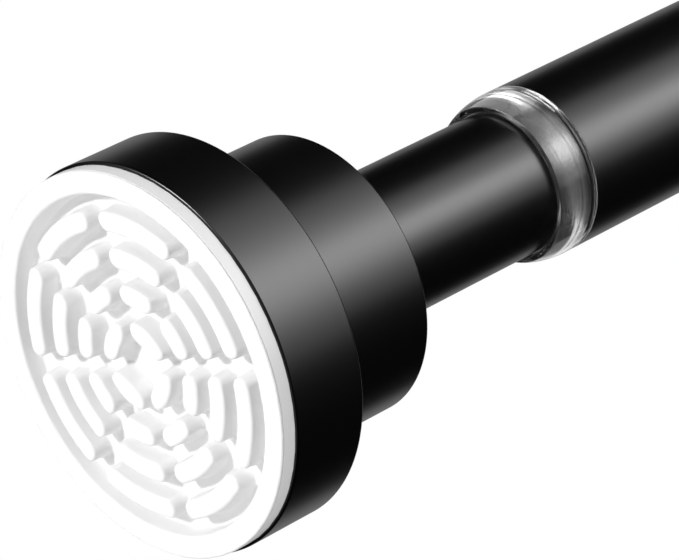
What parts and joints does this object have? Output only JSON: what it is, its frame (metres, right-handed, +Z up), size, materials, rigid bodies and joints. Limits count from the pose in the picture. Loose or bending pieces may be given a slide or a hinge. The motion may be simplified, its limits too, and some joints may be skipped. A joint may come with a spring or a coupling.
{
  "type": "spring tension rod",
  "caption": "Telescoping tension rod that stands between two walls, with ribbed rubber wall pads, a twist lock and a pressing spring inside.",
  "frame": {"origin": "centre of the fixed end's wall face, in the plane of its rim and rib tops", "axes": "+X out of the fixed end's wall face along the rod, which lies on the -X side; +Z up"},
  "size_m": [0.434, 0.0558, 0.0558],
  "materials": {
    "pad_rubber": "soft moulded rubber, matt",
    "cap_plastic": "satin moulded plastic",
    "tube_paint": "satin powder coat",
    "clear_plastic": "clear moulded plastic",
    "inner_plastic": "natural moulded plastic",
    "zinc_steel": "bright zinc plate",
    "spring_steel": "drawn spring wire"
  },
  "bodies": {
    "outer_tube_body": {"outer_tube": "tube_paint", "guide_ring": "clear_plastic", "cap_far": "cap_plastic", "cap_screw_far": "zinc_steel", "plug_far": "inner_plastic", "pad_far": "pad_rubber"},
    "lock_sleeve_body": {"lock_sleeve": "inner_plastic"},
    "spindle_body": {"spindle": "zinc_steel", "shank_clip": "zinc_steel", "journal_clip": "zinc_steel", "end_washer": "zinc_steel", "end_screw": "zinc_steel", "spring": "spring_steel"},
    "inner_tube_body": {"inner_tube": "tube_paint", "end_bush": "inner_plastic", "bush_washer": "zinc_steel", "plug_near": "inner_plastic", "cap_screw_near": "zinc_steel", "cap_near": "cap_plastic", "pad_near": "pad_rubber"},
    "cone_nut_body": {"cone_nut": "inner_plastic"}
  },
  "joints": [
    {"name": "telescope", "type": "slide", "parent": "outer_tube_body", "child": "lock_sleeve_body", "axis": [-1, 0, 0], "range_m": [-0.016, 0.166]},
    {"name": "twist", "type": "hinge", "parent": "lock_sleeve_body", "child": "spindle_body", "pos_m": [-0.11, 0, 0], "axis": [1, 0, 0], "range_deg": [0, 540]},
    {"name": "spring_travel", "type": "slide", "parent": "spindle_body", "child": "inner_tube_body", "axis": [1, 0, 0], "range_m": [0, 0.018], "stiffness_N_per_m": 4400, "springref_m": -0.005, "deforming": ["spring"]},
    {"name": "nut_travel", "type": "slide", "parent": "lock_sleeve_body", "child": "cone_nut_body", "axis": [1, 0, 0], "range_m": [-0.0046, 0]}
  ],
  "couplings": [
    {"joint": "nut_travel", "follows": "twist", "m_per_rad": -0.00047746}
  ]
}
